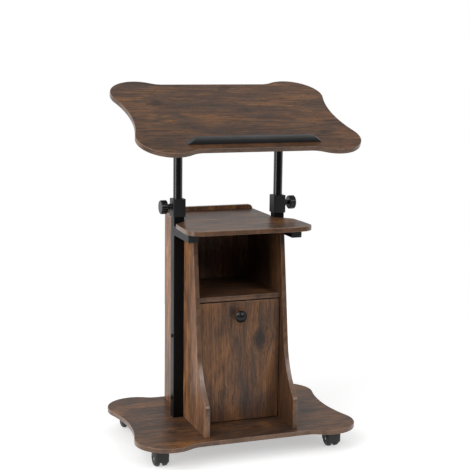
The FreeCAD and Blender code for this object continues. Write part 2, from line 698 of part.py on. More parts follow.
def bracket_screws():
    """Screws up through the bracket flanges into the top, level about the pivot."""
    seat = PIVOT_DROP - BRACKET_T
    length = BRACKET_T + SCREW_BITE
    inset = SCREW_HEAD_R * 2
    xs = [CHEEK_OUT - BRACKET_W + inset, CHEEK_OUT - BRACKET_T - inset]
    ys = [BRACKET_LEN / 2 - inset, inset - BRACKET_LEN / 2]
    return [pan_screw(V(s * x, y, seat), V(0, 0, 1), length) for s in SIDES.values() for x in xs for y in ys]


def tilt_bracket():
    """Pressed bracket, level about the pivot: a flange under the top and a cheek with an arc slot."""
    low, high = -90 - TILT_STEEP, -90 - TILT_FLAT
    slot_half = TILT_STUD_R + SLOT_PLAY
    rim_r = SLOT_R + slot_half + BRACKET_RIM
    pivot = V(CHEEK_IN, 0, 0)
    across = V(BRACKET_T, 0, 0)
    half, under = BRACKET_LEN / 2, PIVOT_DROP - BRACKET_T
    flange = box(CHEEK_OUT - BRACKET_W, CHEEK_OUT, -half, half, under, PIVOT_DROP)
    web = outline(*[pivot + V(0, y, z) for y, z in (
        (-half, under), (half, under), (BRACKET_NOSE_R, 0), (-BRACKET_NOSE_R, 0))]).extrude(across)
    nose = rod(BRACKET_NOSE_R, pivot, pivot + across)
    fan_low, fan_high = low - BRACKET_RIM_ANGLE, high + BRACKET_RIM_ANGLE
    fan = filled([
        line(pivot, polar_yz(pivot, rim_r, fan_low)),
        arc(polar_yz, pivot, rim_r, fan_low, fan_high),
        line(polar_yz(pivot, rim_r, fan_high), pivot),
    ]).extrude(across)
    tips = [polar_yz(pivot, SLOT_R, a) for a in (low, high)]
    slot = filled([
        arc(polar_yz, pivot, SLOT_R + slot_half, low, high),
        arc(polar_yz, pivot, SLOT_R - slot_half, low, high),
        arc(polar_yz, tips[0], slot_half, low, low - 180),
        arc(polar_yz, tips[1], slot_half, high, high + 180),
    ]).extrude(across)
    hole = rod(PIVOT_R + RUNNING, pivot, pivot + across)
    return flange.fuse([web, nose, fan]).removeSplitter().cut([slot, hole] + bracket_screws())


def stop_place():
    """Middle of the stop bar's front foot, level about the pivot."""
    return V(0, FRONT_RECESS - TOP_D / 2 + STOP_FROM_EDGE - TOP_FORWARD, PIVOT_DROP + BOARD)


def stop_bar_screws():
    """Screws up through the top into the stop bar, level about the pivot."""
    y = stop_place().y + STOP_D / 2
    length = BOARD + STOP_H / 2
    spots = [V(x, y, PIVOT_DROP) for x in (-STOP_TOP_LEN * 0.4, 0, STOP_TOP_LEN * 0.4)]
    return [flat_screw(p, V(0, 0, 1), length) for p in spots]


def stop_bar():
    """Stop bar with a chamfered front and bevelled ends, level about the pivot."""
    foot = stop_place()
    section = outline(*[foot + V(-STOP_LEN / 2, y, z) for y, z in (
        (0, 0), (STOP_LEAN, STOP_H - STOP_CHAMFER_H), (STOP_LEAN + STOP_CHAMFER_D, STOP_H),
        (STOP_D - STOP_LEAN, STOP_H), (STOP_D, 0))])
    front = outline(*[foot + V(x, 0, z) for x, z in (
        (-STOP_LEN / 2, 0), (STOP_LEN / 2, 0), (STOP_TOP_LEN / 2, STOP_H), (-STOP_TOP_LEN / 2, STOP_H))])
    bar = section.extrude(V(STOP_LEN, 0, 0)).common(front.extrude(V(0, STOP_D, 0)))
    return bar.cut(stop_bar_screws())


def tabletop():
    """Lobed top, level about the pivot."""
    board = lobed_board(TOP_W, TOP_D, PIVOT_DROP)
    board.translate(V(0, -TOP_FORWARD, 0))
    return board.cut(bracket_screws() + stop_bar_screws())


def hinge_pins():
    """Pins in the door's lower corners that turn in the bushes."""
    start = V(DOOR_HALF - HINGE_PIN_IN, HINGE_Y, HINGE_Z)
    end = V(PANEL_IN + BUSH_DEPTH - FACE_GAP, HINGE_Y, HINGE_Z)
    return both(rod(HINGE_PIN_R, start, end))


def door_knob_screw():
    """Screw from inside the door into its knob."""
    length = BOARD + KNOB_REACH / 2
    return pan_screw(V(0, DOOR_BACK_Y, KNOB_Z), V(0, -1, 0), length, KNOB_SCREW_R)


def door_knob():
    """Turned knob: foot, waisted neck and a domed head."""
    neck = KNOB_REACH * KNOB_NECK_SHARE
    dome_r = (KNOB_R ** 2 + KNOB_DOME ** 2) / (2 * KNOB_DOME)
    turn = math.asin(KNOB_R / dome_r) / 2
    dome_mid = V(dome_r * math.sin(turn), dome_r * (1 - math.cos(turn)) - KNOB_REACH, 0)
    rim = KNOB_DOME - KNOB_REACH
    tip = V(0, -KNOB_REACH, 0)
    face = filled([
        line(V(0, 0, 0), V(KNOB_FOOT_R, 0, 0)),
        Part.Arc(V(KNOB_FOOT_R, 0, 0), V(KNOB_NECK_R, -neck / 2, 0), V(KNOB_FOOT_R, -neck, 0)).toShape(),
        line(V(KNOB_FOOT_R, -neck, 0), V(KNOB_R, rim, 0)),
        Part.Arc(V(KNOB_R, rim, 0), dome_mid, tip).toShape(),
        line(tip, V(0, 0, 0)),
    ])
    knob = face.revolve(V(0, 0, 0), V(0, 1, 0), 360)
    knob.translate(V(0, DOOR_FRONT_Y, KNOB_Z))
    return knob.cut(door_knob_screw())


def strike_plate():
    """Steel plate on the door that the catch holds."""
    top = DOOR_TOP - STRIKE_T
    half = STRIKE_W / 2
    return box(-half, half, DOOR_BACK_Y, DOOR_BACK_Y + STRIKE_T, top - STRIKE_H, top)


def magnet_catch():
    """Magnetic catch under the cabinet shelf, behind the strike plate."""
    front = DOOR_BACK_Y + STRIKE_T + FACE_GAP
    half = CATCH_W / 2
    body = box(-half, half, front, front + CATCH_D, CABINET_SHELF_UNDER - CATCH_H, CABINET_SHELF_UNDER)
    return rounded(body, CATCH_EDGE_R, V(0, 0, 1))


def door():
    """Drop-front door on pins at its foot."""
    panel = box(-DOOR_HALF, DOOR_HALF, DOOR_FRONT_Y, DOOR_BACK_Y, DOOR_FOOT, DOOR_TOP)
    return panel.cut([hinge_pins(), door_knob_screw()])


def pieces():
    """Every piece by its name."""
    group = Part.makeCompound
    made = {
        "base_board": base_board(),
        "base_screws": group(base_screws()),
        "back_panel": back_panel(),
        "back_panel_screws": group(back_screws()),
        "cabinet_shelf": cabinet_shelf(),
        "shelf_dowels": group(shelf_dowels()),
        "mid_shelf": mid_shelf(),
        "shelf_screws": group(shelf_screws()),
        "arm_end_caps": arm_end_caps(),
        "upright_bolts": group(upright_bolts()),
        "hinge_bushes": hinge_bushes(),
        "magnet_catch": magnet_catch(),
        "caster_plates": caster_plates(),
        "caster_screws": group(caster_screws()),
        "door": door(),
        "door_knob": door_knob(),
        "door_knob_screw": door_knob_screw(),
        "door_hinge_pins": hinge_pins(),
        "strike_plate": strike_plate(),
        "post_guides": post_guides(),
        "tilt_pivot_bolts": both(tilt_pivot()),
        "tabletop": tilted(tabletop()),
        "stop_bar": tilted(stop_bar()),
        "stop_bar_screws": tilted(group(stop_bar_screws())),
        "bracket_screws": tilted(group(bracket_screws())),
    }
    right = {
        "side_panel": side_panel(), "upright": upright(), "arm": arm(), "clamp_sleeve": clamp_sleeve(),
        "clamp_knob": clamp_knob(), "clamp_stud": clamp_stud(), "post": post(), "post_head": post_head(),
        "tilt_bracket": tilted(tilt_bracket()), "tilt_knob": tilt_knob(), "tilt_stud": tilt_stud(),
    }
    for word, side in SIDES.items():
        made.update({f"{name}_{word}": on_side(shape, side) for name, shape in right.items()})
    caster = {"caster_hood": caster_hood(), "caster_axle": caster_axle(), "caster_wheels": caster_wheels()}
    made.update({f"{name}_{c}": at_corner(shape, c) for name, shape in caster.items() for c in CORNERS})
    return made


os.makedirs("parts", exist_ok=True)
for name, shape in pieces().items():
    shape.exportStep(f"parts/{name}.step")
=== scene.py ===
"""Dressing of a rolling lectern: laminate boards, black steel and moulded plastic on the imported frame."""
import json
import math

import bmesh
import bpy
from mathutils import Matrix, Vector


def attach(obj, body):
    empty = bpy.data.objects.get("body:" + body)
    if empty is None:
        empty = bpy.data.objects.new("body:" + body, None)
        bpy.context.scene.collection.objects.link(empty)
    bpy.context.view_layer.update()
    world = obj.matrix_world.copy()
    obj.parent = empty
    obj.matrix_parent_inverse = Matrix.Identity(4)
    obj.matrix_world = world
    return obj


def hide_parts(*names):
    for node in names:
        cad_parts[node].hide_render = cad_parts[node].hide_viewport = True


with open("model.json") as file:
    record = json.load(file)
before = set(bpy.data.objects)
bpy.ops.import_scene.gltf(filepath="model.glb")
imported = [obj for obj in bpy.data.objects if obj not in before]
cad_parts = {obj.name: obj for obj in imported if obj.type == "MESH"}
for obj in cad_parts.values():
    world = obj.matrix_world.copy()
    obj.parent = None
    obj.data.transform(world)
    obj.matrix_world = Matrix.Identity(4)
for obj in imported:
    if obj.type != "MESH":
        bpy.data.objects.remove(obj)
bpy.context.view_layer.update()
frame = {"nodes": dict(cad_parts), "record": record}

bl_info = {
    "name": "Rolling Lectern Dressing",
    "version": (1, 0, 0),
    "blender": (4, 5, 0),
    "location": "View3D > Sidebar > Lectern",
    "description": "Softens the boards and fittings of the lectern's frame and gives every piece its finish",
    "category": "Object",
}

SIDES = ("left", "right")
CORNERS = ("front_left", "front_right", "rear_left", "rear_right")
AXES = {"X": Vector((1, 0, 0)), "Y": Vector((0, 1, 0)), "Z": Vector((0, 0, 1))}
REST_TILT = math.radians(21.3)

# Boards: way of the grain, way through the thickness, tone and gloss of the print, where its pattern starts.
# The tone is partly the print's own and partly painted light and shade: the left side panel and the back
# panel are made paler as painted light, and the right side panel and the tabletop darker as painted shade.
BOARDS = {
    "tabletop": ("X", "TILTED", 0.60, 0.05, (0.31, 0.12, 0.05)),
    "base_board": ("X", "Z", 0.72, 0.05, (1.70, 0.40, 0.90)),
    "mid_shelf": ("X", "Z", 0.80, 0.03, (3.10, 0.75, 0.33)),
    "cabinet_shelf": ("X", "Z", 0.80, 0.15, (4.40, 1.20, 0.61)),
    "door": ("Z", "Y", 0.87, 0.35, (0.90, 2.30, 1.45)),
    "side_panel_left": ("Z", "X", 1.60, 0.14, (3.20, 3.10, 0.27)),
    "side_panel_right": ("Z", "X", 0.66, 0.14, (5.30, 1.80, 2.15)),
    "back_panel": ("Z", "Y", 1.80, 0.20, (8.70, 0.60, 3.05)),
}
FACE_ON = 0.9  # a face this much in line with the thickness is a broad face
# The paler banding on the eased arris is a painted highlight.
ARRIS_PAINTED_HIGHLIGHT = 1.45  # how much paler the banding is where it is eased

# Layers of the print: start of the noise, its cycles per metre along and across the grain, on level boards
# and then on upright ones, and its detail, roughness and distortion
LAYERS = {
    "wobble": ((0.0, 0.0, 0.0), (4.0, 9.0), (4.0, 9.0), 3.0, 0.50, 0.0),
    "zone": ((0.0, 0.0, 0.0), (7.2, 15.0), (4.32, 15.0), 4.0, 0.60, 0.4),
    "streak": ((0.0, 0.0, 0.0), (9.0, 130.0), (5.4, 130.0), 5.0, 0.65, 0.0),
    "fibre": ((0.0, 0.0, 0.0), (13.0, 430.0), (13.0, 430.0), 2.0, 0.60, 0.0),
    "smear": ((1.7, 0.3, 0.8), (15.0, 48.0), (8.0, 48.0), 8.0, 0.76, 0.5),
    "gather": ((0.2, 1.3, 2.8), (2.6, 6.0), (2.6, 6.0), 2.0, 0.50, 0.0),
    "split": ((0.7, 2.1, 0.4), (2.2, 60.0), (2.2, 60.0), 3.0, 0.60, 0.0),
    "fleck": ((2.9, 0.6, 1.1), (70.0, 210.0), (40.0, 260.0), 3.0, 0.60, 0.0),
}
SWAY = 0.018  # how far the grain wanders sideways, in metres
STREAK_DEPTH = 0.40  # how much streaks lighten and darken the print
FIBRE_DEPTH = 0.38  # how much single fibres lighten and darken it
CRACK_WIDTH = 0.012  # width of the hairline cracks, in the noise's own measure
CRACK_SHADE = 0.55  # how bright the print stays in a crack
FLECK_SHADE = 0.45  # how bright it stays in a pore
SMOKE_DRIFT = 0.10  # how far the smears gather in some places and thin out in others
SMOKE_COVER = 0.78  # how much of the print the thickest smear hides

# Knots in the print: where the heart is and its half-width, in metres
KNOTS = {
    "tabletop": (
        ((-0.19, 0.05, 0.87), 0.013), ((0.21, -0.12, 0.82), 0.011), ((0.04, 0.14, 0.90), 0.012)),
    "base_board": (
        ((-0.20, -0.10, 0.068), 0.011), ((0.21, -0.05, 0.068), 0.013), ((0.03, -0.13, 0.068), 0.009)),
    "mid_shelf": (((0.07, -0.09, 0.5995), 0.010),),
    "cabinet_shelf": (((-0.05, 0.05, 0.408), 0.009),),
    "door": (
        ((0.057, -0.07, 0.287), 0.016), ((-0.020, -0.07, 0.368), 0.010), ((-0.045, -0.07, 0.150), 0.009)),
    "side_panel_left": (((-0.12, 0.06, 0.36), 0.013), ((-0.12, -0.05, 0.19), 0.010)),
    "side_panel_right": (((0.12, 0.02, 0.30), 0.013), ((0.12, 0.10, 0.48), 0.010)),
    "back_panel": (((-0.05, 0.177, 0.44), 0.014), ((0.07, 0.177, 0.20), 0.012)),
}
# How a knot is drawn; its lengths are in half-widths
KNOT_LENGTH = 1.8  # half its length along the grain
KNOT_RAGGED = 0.9  # how far its rim strays
BOW_WIDTH = 0.6  # how far the grain bows round it
BOW_REACH = 3.2  # where that bow ends
RING_RATE = 11.0  # radians of the rings' wave for each half-width
RING_DEPTH = 0.20  # how much the rings change the print
HEART_COVER = 0.80  # how much of the print the heart hides

# Edge banding: cycles per metre through the thickness and along the edge
BAND_LINES = 520.0
BAND_ALONG = 5.0

# Drive recesses in screw heads: outlines in metres, and the size of the floor against the rim
HEX_RADIUS = 0.0023
HEX_SOCKET = [(HEX_RADIUS * math.cos(math.radians(a)), HEX_RADIUS * math.sin(math.radians(a)))
              for a in range(0, 360, 60)]
HEX_FLOOR = 0.96
CROSS_SLOT = [(x * 0.001, y * 0.001) for x, y in (
    (2.2, -0.45), (2.2, 0.45), (0.45, 0.45), (0.45, 2.2), (-0.45, 2.2), (-0.45, 0.45),
    (-2.2, 0.45), (-2.2, -0.45), (-0.45, -0.45), (-0.45, -2.2), (0.45, -2.2), (0.45, -0.45))]
CROSS_FLOOR = 0.6

# Meshes
MERGE_REACH = 2e-6  # corners of triangles closer than this are one
FLAT_WITHIN = math.radians(0.4)  # faces that turn less than this are one flat face
CORNER_FROM = math.radians(35)  # edges that turn more than this are eased
SHARP_FROM = math.radians(38)  # edges that turn more than this are shaded sharp
FLUSH_FROM = math.radians(95)  # a head whose rim turns more than this is countersunk
ARRIS_STEPS = 2
HEAD_STEPS = 3
HEAD_CORNERS = 8  # a head's face has more corners than this
HEAD_SHARE = 0.8  # and at least this share of the widest face's area


class LecternSizes(bpy.types.PropertyGroup):
    """Small sizes that only show in the finish."""

    board_arris: bpy.props.FloatProperty(
        name="Board arris", description="Width of the eased edge round each board", unit="LENGTH",
        default=0.0009)
    moulded_arris: bpy.props.FloatProperty(
        name="Moulded arris", description="Width of the eased edge on moulded plastic", unit="LENGTH",
        default=0.0007)
    head_round: bpy.props.FloatProperty(
        name="Head round", description="Rounding of raised screw heads", unit="LENGTH",
        default=0.0011)
    slot_depth: bpy.props.FloatProperty(
        name="Slot depth", description="Depth of the cross slot in a screw's head", unit="LENGTH",
        default=0.0014)
    socket_depth: bpy.props.FloatProperty(
        name="Socket depth", description="Depth of the hex socket in a bolt's head", unit="LENGTH",
        default=0.0022)
    least_run: bpy.props.FloatProperty(
        name="Least run", description="Edges of holes smaller than this stay sharp", unit="LENGTH",
        default=0.02)


class LecternColours(bpy.types.PropertyGroup):
    """Colours of the finishes."""

    wood_dark: bpy.props.FloatVectorProperty(
        name="Dark grain", description="Hearts of knots", subtype="COLOR",
        default=(0.020, 0.013, 0.010))
    wood_mid: bpy.props.FloatVectorProperty(
        name="Mid grain", description="Main tone of the laminate", subtype="COLOR",
        default=(0.165, 0.078, 0.039))
    wood_warm: bpy.props.FloatVectorProperty(
        name="Warm grain", description="Orange-brown zones of the laminate", subtype="COLOR",
        default=(0.280, 0.127, 0.049))
    wood_cool: bpy.props.FloatVectorProperty(
        name="Cool grain", description="Greyer zones of the laminate", subtype="COLOR",
        default=(0.102, 0.056, 0.034))
    wood_smoke: bpy.props.FloatVectorProperty(
        name="Smoked patches", description="Dark weathered smears in the laminate", subtype="COLOR",
        default=(0.030, 0.025, 0.024))
    edge_band: bpy.props.FloatVectorProperty(
        name="Edge band", description="Main tone of the edge banding", subtype="COLOR",
        default=(0.137, 0.073, 0.041))
    steel_black: bpy.props.FloatVectorProperty(
        name="Powder coat", description="Black powder coat on the steel", subtype="COLOR",
        default=(0.0032, 0.0033, 0.0036))
    plastic_black: bpy.props.FloatVectorProperty(
        name="Moulded black", description="Black moulded plastic", subtype="COLOR",
        default=(0.0085, 0.0085, 0.0090))
    knob_black: bpy.props.FloatVectorProperty(
        name="Knob black", description="Smoother black of the knobs", subtype="COLOR",
        default=(0.0050, 0.0050, 0.0054))
    tread_black: bpy.props.FloatVectorProperty(
        name="Wheel black", description="Black of the wheels", subtype="COLOR",
        default=(0.010, 0.010, 0.0105))
    zinc: bpy.props.FloatVectorProperty(
        name="Zinc plate", description="Zinc plate on screws, studs and pins", subtype="COLOR",
        default=(0.52, 0.53, 0.54))
    catch_brown: bpy.props.FloatVectorProperty(
        name="Catch", description="Moulded case of the magnetic catch", subtype="COLOR",
        default=(0.030, 0.016, 0.010))
    beech: bpy.props.FloatVectorProperty(
        name="Dowels", description="Plain beech of the dowels", subtype="COLOR",
        default=(0.48, 0.31, 0.15))
    paper_white: bpy.props.FloatVectorProperty(
        name="Floor", description="Pale studio floor", subtype="COLOR",
        default=(0.72, 0.72, 0.72))


class LecternStage(bpy.types.PropertyGroup):
    """Camera, light and floor."""

    lens: bpy.props.FloatProperty(name="Lens", description="Focal length in millimetres", default=89.469)
    sensor: bpy.props.FloatProperty(
        name="Sensor", description="Width of the film in millimetres", default=36.0)
    eye: bpy.props.FloatVectorProperty(
        name="Eye", description="Place of the camera", subtype="XYZ", unit="LENGTH",
        default=(-1.058595, -2.846051, 1.078935))
    turn: bpy.props.FloatProperty(
        name="Turn", description="Heading to the right of straight ahead", subtype="ANGLE",
        default=math.radians(20.594))
    dip: bpy.props.FloatProperty(
        name="Dip", description="Angle below the horizon", subtype="ANGLE", default=math.radians(9.747))
    roll: bpy.props.FloatProperty(
        name="Roll", description="Lean of the camera", subtype="ANGLE", default=math.radians(0.747))
    key: bpy.props.FloatProperty(name="Key", description="Strength of the main light", default=1.3)
    key_width: bpy.props.FloatProperty(
        name="Key width", description="Angle that the main light fills", subtype="ANGLE",
        default=math.radians(38))
    key_way: bpy.props.FloatVectorProperty(
        name="Key way", description="Where the main light comes from", subtype="DIRECTION",
        default=(-0.62, -0.50, 0.60))
    fill: bpy.props.FloatProperty(
        name="Fill", description="Strength of the light on the right of the camera", default=0.9)
    fill_width: bpy.props.FloatProperty(
        name="Fill width", description="Angle that the right light fills", subtype="ANGLE",
        default=math.radians(26))
    fill_way: bpy.props.FloatVectorProperty(
        name="Fill way", description="Where the right light comes from", subtype="DIRECTION",
        default=(0.35, -0.77, 0.54))
    side: bpy.props.FloatProperty(
        name="Side", description="Power of the tall soft light on the left", subtype="POWER", default=16.0)
    side_height: bpy.props.FloatProperty(
        name="Side height", description="Height of the tall soft light", default=1.8, unit="LENGTH")
    side_width: bpy.props.FloatProperty(
        name="Side width", description="Width of the tall soft light", default=0.7, unit="LENGTH")
    side_place: bpy.props.FloatVectorProperty(
        name="Side place", description="Middle of the tall soft light", subtype="XYZ", unit="LENGTH",
        default=(-1.96, -0.42, 1.05))
    side_turn: bpy.props.FloatProperty(
        name="Side turn", description="Turn of the tall soft light towards the back", subtype="ANGLE",
        default=math.radians(12))
    sky: bpy.props.FloatProperty(
        name="Surround", description="Strength of the soft surrounding light", default=0.62)
    room: bpy.props.FloatProperty(
        name="Room", description="How bright a gloss shows the room on the camera's side", default=0.10)
    backdrop_way: bpy.props.FloatVectorProperty(
        name="Backdrop way", description="Where the middle of the white backdrop is", subtype="DIRECTION",
        default=(0.31, 0.81, 0.50))
    backdrop_fade: bpy.props.FloatVectorProperty(
        name="Backdrop fade", description="Cosines at which the room begins and the backdrop is full", size=2,
        default=(-0.55, 0.25))
    floor_lift: bpy.props.FloatProperty(
        name="Floor lift", description="White added to the floor as it is seen", default=0.46)
    floor_reach: bpy.props.FloatProperty(
        name="Floor reach", description="Radius of the floor", default=1.6, unit="LENGTH")


class Nodes:
    """A node tree, built a node at a time."""

    def __init__(self, tree):
        self.tree = tree

    def add(self, kind, settings=None, **inputs):
        """New node; settings are its own properties, inputs are values or the sockets that feed it."""
        node = self.tree.nodes.new(kind)
        for key, value in (settings or {}).items():
            setattr(node, key, value)
        for key, value in inputs.items():
            self.feed(node.inputs[key.replace("_", " ")], value)
        return node

    def feed(self, socket, value):
        """Set a socket to a value, or link it to another socket."""
        if isinstance(value, bpy.types.NodeSocket):
            self.tree.links.new(value, socket)
        else:
            socket.default_value = value

    def math(self, operation, *values):
        """Result of a sum on one or two values."""
        node = self.add("ShaderNodeMath", {"operation": operation})
        for socket, value in zip(node.inputs, values):
            self.feed(socket, value)
        return node.outputs[0]

    def weighed(self, a, share, b):
        """Mean of two values in which a has the given share."""
        return self.math("ADD", self.math("MULTIPLY", a, share), self.math("MULTIPLY", b, 1 - share))

    def between(self, factor, a, b):
        """Value between a and b."""
        node = self.add("ShaderNodeMix")
        for index, value in ((0, factor), (2, a), (3, b)):
            self.feed(node.inputs[index], value)
        return node.outputs[0]

    def vector(self, operation, *values):
        """Node for a sum on vectors."""
        node = self.add("ShaderNodeVectorMath", {"operation": operation})
        for socket, value in zip(node.inputs, values):
            self.feed(socket, value)
        return node

    def spread(self, value, low, high, start, end, settings=None):
        """Value from low to high, stretched to run from start to end."""
        node = self.add("ShaderNodeMapRange", settings, Value=value, From_Min=low, From_Max=high,
                        To_Min=start, To_Max=end)
        return node.outputs[0]

    def ray(self, *kinds):
        """1 for the named kinds of ray and 0 for the others."""
        path = self.add("ShaderNodeLightPath")
        first, *others = (path.outputs[f"Is {kind} Ray"] for kind in kinds)
        for other in others:
            first = self.math("MAXIMUM", first, other)
        return first


class Shader(Nodes):
    """A material's node tree."""

    def __init__(self, name):
        self.material = bpy.data.materials.new(name)
        self.material.use_nodes = True
        super().__init__(self.material.node_tree)
        self.surface = self.tree.nodes["Principled BSDF"]

    def scaled(self, colour, factor):
        """Colour or vector times a value."""
        node = self.vector("SCALE", colour)
        self.feed(node.inputs["Scale"], factor)
        return node.outputs[0]

    def blend(self, factor, a, b):
        """Colour between a and b."""
        node = self.add("ShaderNodeMix", {"data_type": "RGBA"})
        for index, value in ((0, factor), (6, a), (7, b)):
            self.feed(node.inputs[index], value)
        return node.outputs[2]

    def ramp(self, value, *stops):
        """Colour ramp from (place, grey) or (place, colour) stops."""
        node = self.add("ShaderNodeValToRGB", Fac=value)
        while len(node.color_ramp.elements) < len(stops):
            node.color_ramp.elements.new(0.5)
        for element, (place, colour) in zip(node.color_ramp.elements, stops):
            element.position = place
            element.color = rgba((colour,) * 3 if isinstance(colour, float) else colour)
        return node.outputs[0]

    def patches(self, value, low, high, colour, lift, most=1.0):
        """Colour with patches of the same colour times lift, where a value rises from low to high."""
        cover = self.ramp(value, (low, 0.0), (high, most))
        return self.blend(cover, rgba(colour), rgba([lift * c for c in colour]))

    def place(self, shift=(0, 0, 0), turn=(0, 0, 0), scale=(1, 1, 1), vector=None):
        """Object coordinates, or another vector, stretched, turned and shifted."""
        if vector is None:
            vector = self.add("ShaderNodeTexCoord").outputs["Object"]
        node = self.add("ShaderNodeMapping", Vector=vector, Location=shift, Rotation=turn, Scale=scale)
        return node.outputs[0]

    def noise(self, vector, scale=1.0, detail=3.0, rough=0.6, distort=0.0):
        """Soft noise value."""
        node = self.add("ShaderNodeTexNoise", Vector=vector, Scale=scale, Detail=detail, Roughness=rough,
                        Distortion=distort)
        return node.outputs[0]

    def finish(self, colour, rough, bump=None, depth=0.0002, strength=0.3, **sockets):
        """Feed the surface and return the material."""
        self.feed(self.surface.inputs["Base Color"], colour)
        self.feed(self.surface.inputs["Roughness"], rough)
        for key, value in sockets.items():
            self.surface.inputs[key.replace("_", " ")].default_value = value
        if bump is not None:
            node = self.add("ShaderNodeBump", Height=bump, Strength=strength, Distance=depth)
            self.feed(self.surface.inputs["Normal"], node.outputs[0])
        return self.material


def rgba(colour):
    """Colour with full alpha."""
    return (*colour, 1.0)


def thin_axis(through):
    """Axis through a board's thickness; for its pattern, the tilted top counts as level."""
    return "Z" if through == "TILTED" else through


def board_normal(through):
    """Way through a board's thickness."""
    normal = AXES[thin_axis(through)]
    return Matrix.Rotation(REST_TILT, 3, "X") @ normal if through == "TILTED" else normal


def grain_turn(way):
    """Turn that lays the grain of a pattern along X."""
    return (0, math.radians(90), 0) if way == "Z" else (0, 0, 0)


def knot_place(s, way, through, heart, size):
    """Place measured from a knot's heart: 1 at its rim, which is longer along the grain."""
    flat = thin_axis(through)
    scale = [0.0 if axis == flat else 1 / (size * (KNOT_LENGTH if axis == way else 1)) for axis in "XYZ"]
    return s.place(shift=[-c * k for c, k in zip(heart, scale)], scale=scale)


def bowed_grain(s, node, way, through):
    """Place on a board with the grain bowed round its knots, and the distance from each knot's heart."""
    place = s.place()
    reaches = []
    for heart, size in KNOTS[node]:
        away = knot_place(s, way, through, heart, size)
        reach = s.vector("LENGTH", away).outputs["Value"]
        stray = s.noise(s.place(), scale=34.0, detail=4.0, rough=0.65)
        reaches.append(s.math("ADD", reach, s.spread(stray, 0.2, 0.8, -KNOT_RAGGED, KNOT_RAGGED)))
        across = [0.0 if axis == way else -BOW_WIDTH * size for axis in "XYZ"]
        pull = s.spread(reach, 0.0, BOW_REACH, 1.0, 0.0)
        bow = s.scaled(s.vector("MULTIPLY", away, across).outputs[0], pull)
        place = s.vector("ADD", place, bow).outputs[0]
    return place, reaches


def layer(s, name, way, place):
    """One layer of the laminate's print: soft noise drawn out along the grain."""
    shift, level, upright, detail, rough, distort = LAYERS[name]
    along, across = level if way == "X" else upright
    drawn = s.place(shift=shift, scale=(along, across, across), vector=place)
    return s.noise(drawn, detail=detail, rough=rough, distort=distort)


def knotted(s, colour, reaches):
    """Colour with the rings and dark hearts of the knots."""
    heart_colour = rgba(bpy.context.scene.lectern_colours.wood_dark)
    for reach in reaches:
        rings = s.math("SINE", s.math("MULTIPLY", reach, RING_RATE))
        fade = s.spread(reach, 0.9, 2.6, RING_DEPTH, 0.0)
        colour = s.scaled(colour, s.math("SUBTRACT", 1.0, s.math("MULTIPLY", rings, fade)))
        colour = s.blend(s.spread(reach, 0.20, 1.50, HEART_COVER, 0.0), colour, heart_colour)
    return colour


def laminate(node, way, through, tone, gloss, shift):
    """Printed rustic laminate: fibre lines that bow round the knots, cracks, pores and smoky smears."""
    tones = bpy.context.scene.lectern_colours
    s = Shader(f"laminate_{node}")
    lined, reaches = bowed_grain(s, node, way, through)
    base = s.place(shift=shift, vector=s.place(turn=grain_turn(way), vector=lined))
    aside = s.math("MULTIPLY", layer(s, "wobble", way, base), SWAY)
    sway = s.add("ShaderNodeCombineXYZ", X=0.0, Y=aside, Z=aside)
    base = s.vector("ADD", base, sway.outputs[0]).outputs[0]
    zone, streak, fibre = (layer(s, name, way, base) for name in ("zone", "streak", "fibre"))
    smear, gather = (layer(s, name, way, base) for name in ("smear", "gather"))
    split, fleck = (layer(s, name, way, base) for name in ("split", "fleck"))
    colour = s.ramp(zone, (0.34, tones.wood_cool), (0.50, tones.wood_mid), (0.66, tones.wood_warm))
    # tone scales the whole print: partly the board's own tone, partly painted light (left side panel, back
    # panel) and painted shade (right side panel, tabletop)
    streaks = ((1 - STREAK_DEPTH) * tone, (1 + STREAK_DEPTH) * tone)
    colour = s.scaled(colour, s.spread(streak, 0.30, 0.70, *streaks))
    colour = s.scaled(colour, s.spread(fibre, 0.25, 0.75, 1 - FIBRE_DEPTH, 1 + FIBRE_DEPTH))
    off_crack = s.math("ABSOLUTE", s.math("SUBTRACT", split, 0.5))
    colour = s.scaled(colour, s.spread(off_crack, 0.0, CRACK_WIDTH, CRACK_SHADE, 1.0))
    colour = s.scaled(colour, s.spread(fleck, 0.56, 0.68, 1.0, FLECK_SHADE))
    thick = s.math("ADD", smear, s.spread(gather, 0.3, 0.7, -SMOKE_DRIFT, SMOKE_DRIFT))
    colour = s.blend(s.ramp(thick, (0.46, 0.0), (0.70, SMOKE_COVER)), colour, rgba(tones.wood_smoke))
    colour = knotted(s, colour, reaches)
    rough = s.spread(streak, 0.30, 0.70, 0.38, 0.28)
    relief = s.weighed(streak, 0.5, fibre)
    return s.finish(colour, rough, relief, strength=0.18, Specular_IOR_Level=gloss)


def edge_banding(node, through, shift, lift=1.0):
    """Edge banding: fine lines that run along the edge, whichever way the edge turns. A lift above 1 gives
    the paler banding of the eased arris, which is a painted highlight.
    """
    s = Shader(f"edge_{node}_{'arris' if lift > 1 else 'band'}")
    turn = (-REST_TILT, 0, 0) if through == "TILTED" else (0, 0, 0)
    thin = [BAND_LINES if axis == thin_axis(through) else BAND_ALONG for axis in "XYZ"]
    base = s.place(shift=shift, vector=s.place(turn=turn))
    lines = s.noise(s.place(scale=thin, vector=base))
    drift = s.noise(base, scale=26.0, detail=5.0, rough=0.65, distort=0.8)
    band = [lift * c for c in bpy.context.scene.lectern_colours.edge_band]
    dark, pale = [0.38 * c for c in band], [1.35 * c for c in band]
    colour = s.ramp(s.weighed(lines, 0.4, drift), (0.38, dark), (0.52, band), (0.66, pale))
    rough = s.ramp(lines, (0.3, 0.34), (0.7, 0.24))
    return s.finish(colour, rough, lines, strength=0.12, Specular_IOR_Level=0.50)


